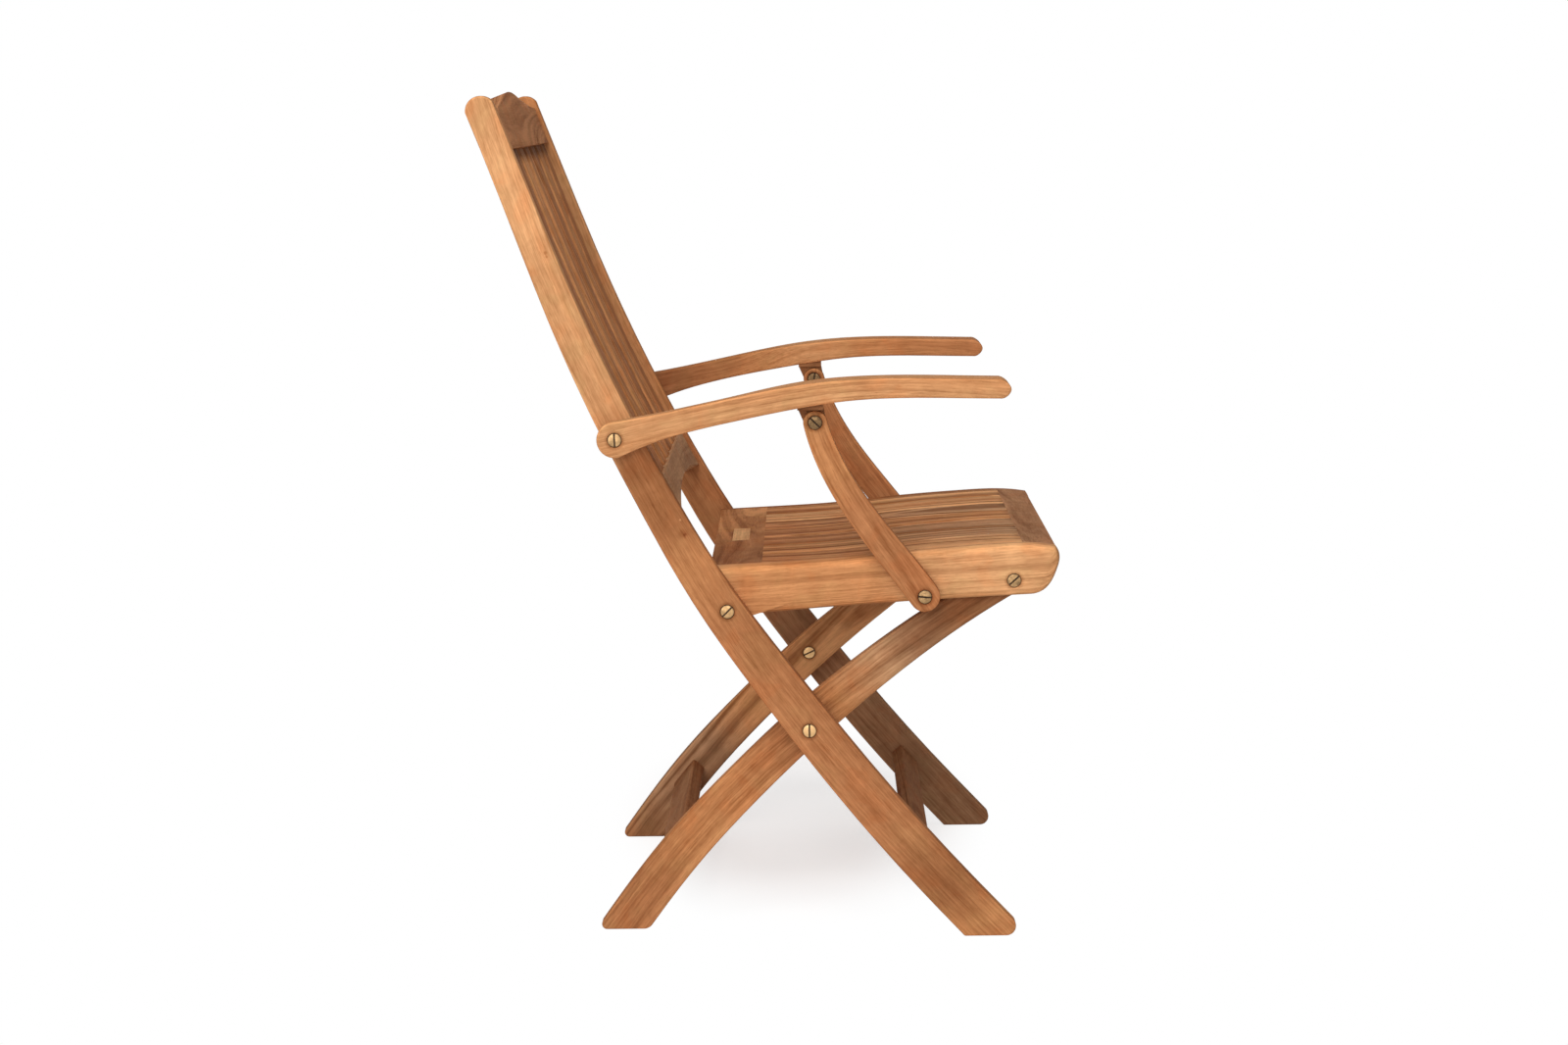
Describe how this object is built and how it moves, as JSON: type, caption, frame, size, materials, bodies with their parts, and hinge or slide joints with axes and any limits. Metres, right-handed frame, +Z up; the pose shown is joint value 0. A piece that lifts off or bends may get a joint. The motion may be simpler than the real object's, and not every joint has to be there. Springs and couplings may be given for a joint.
{
  "type": "folding slatted armchair",
  "caption": "Folding wooden armchair with a slatted seat and a tall slatted back; the seat swings up and the arms and crossed legs fold flat against the back.",
  "frame": {"origin": "on the floor, under the middle of the chair's length and width", "axes": "+X the way a sitter faces, +Y the chair's left, +Z up"},
  "size_m": [0.6504, 0.566, 0.9552],
  "materials": {
    "teak": "sanded teak with open grain, lightly oiled, warm honey brown",
    "plug_wood": "sanded pale end-grain plug",
    "brass": "turned brass, satin with slight tarnish"
  },
  "bodies": {
    "back_frame": {"stile_left": "teak", "stile_right": "teak", "top_rail": "teak", "lower_back_rail": "teak", "back_slat_1": "teak", "back_slat_2": "teak", "back_slat_3": "teak", "back_slat_4": "teak", "back_slat_5": "teak", "back_slat_6": "teak", "back_slat_7": "teak", "front_stretcher": "teak", "leg_spacer_left": "teak", "leg_spacer_right": "teak", "leg_pivot_bolt_left": "brass", "leg_pivot_bolt_right": "brass", "seat_pivot_bolt_left": "brass", "seat_pivot_bolt_right": "brass", "arm_pivot_bolt_left": "brass", "arm_pivot_bolt_right": "brass"},
    "seat_frame": {"seat_rail_left": "teak", "seat_rail_right": "teak", "seat_front_rail": "teak", "seat_rear_rail": "teak", "seat_plug": "plug_wood", "seat_slat_1": "teak", "seat_slat_2": "teak", "seat_slat_3": "teak", "seat_slat_4": "teak", "seat_slat_5": "teak", "seat_slat_6": "teak", "seat_slat_7": "teak", "stop_bolt_left": "brass", "stop_bolt_right": "brass", "strut_foot_bolt_left": "brass", "strut_foot_bolt_right": "brass"},
    "leg_frame": {"leg_left": "teak", "leg_right": "teak", "rear_stretcher": "teak", "leg_top_pin_left": "brass", "leg_top_pin_right": "brass"},
    "arm_unit_left": {"arm_left": "teak", "arm_lug_left": "teak", "strut_top_bolt_left": "brass"},
    "arm_unit_right": {"arm_right": "teak", "arm_lug_right": "teak", "strut_top_bolt_right": "brass"},
    "strut_unit_left": {"strut_left": "teak"},
    "strut_unit_right": {"strut_right": "teak"},
    "slide_unit_left": {"slide_block_left": "brass"},
    "slide_unit_right": {"slide_block_right": "brass"}
  },
  "joints": [
    {"name": "seat_fold", "type": "hinge", "parent": "back_frame", "child": "seat_frame", "pos_m": [-0.0478, 0, 0.377], "axis": [0, -1, 0], "range_deg": [0, 75]},
    {"name": "leg_fold", "type": "hinge", "parent": "back_frame", "child": "leg_frame", "pos_m": [0.0423, 0, 0.24], "axis": [0, -1, 0], "range_deg": [0, 68.52]},
    {"name": "arm_fold_left", "type": "hinge", "parent": "back_frame", "child": "arm_unit_left", "pos_m": [-0.168, 0.272, 0.574], "axis": [0, -1, 0], "range_deg": [0, 75]},
    {"name": "arm_fold_right", "type": "hinge", "parent": "back_frame", "child": "arm_unit_right", "pos_m": [-0.168, -0.272, 0.574], "axis": [0, -1, 0], "range_deg": [0, 75]},
    {"name": "strut_turn_left", "type": "hinge", "parent": "seat_frame", "child": "strut_unit_left", "pos_m": [0.173, 0.25, 0.391], "axis": [0, 1, 0], "range_deg": [0, 75]},
    {"name": "strut_turn_right", "type": "hinge", "parent": "seat_frame", "child": "strut_unit_right", "pos_m": [0.173, -0.25, 0.391], "axis": [0, 1, 0], "range_deg": [0, 75]},
    {"name": "pin_slide_left", "type": "slide", "parent": "seat_frame", "child": "slide_unit_left", "axis": [-0.9976, 0, -0.0698], "range_m": [0, 0.1824]},
    {"name": "pin_slide_right", "type": "slide", "parent": "seat_frame", "child": "slide_unit_right", "axis": [-0.9976, 0, -0.0698], "range_m": [0, 0.1824]}
  ],
  "couplings": [
    {"joint": "leg_fold", "follows": "seat_fold", "ratio": 0.9135},
    {"joint": "arm_fold_left", "follows": "seat_fold", "ratio": 1},
    {"joint": "arm_fold_right", "follows": "seat_fold", "ratio": 1},
    {"joint": "strut_turn_left", "follows": "seat_fold", "ratio": 1},
    {"joint": "strut_turn_right", "follows": "seat_fold", "ratio": 1},
    {"joint": "pin_slide_left", "follows": "seat_fold", "m_per_rad": 0.13934},
    {"joint": "pin_slide_right", "follows": "seat_fold", "m_per_rad": 0.13934}
  ]
}
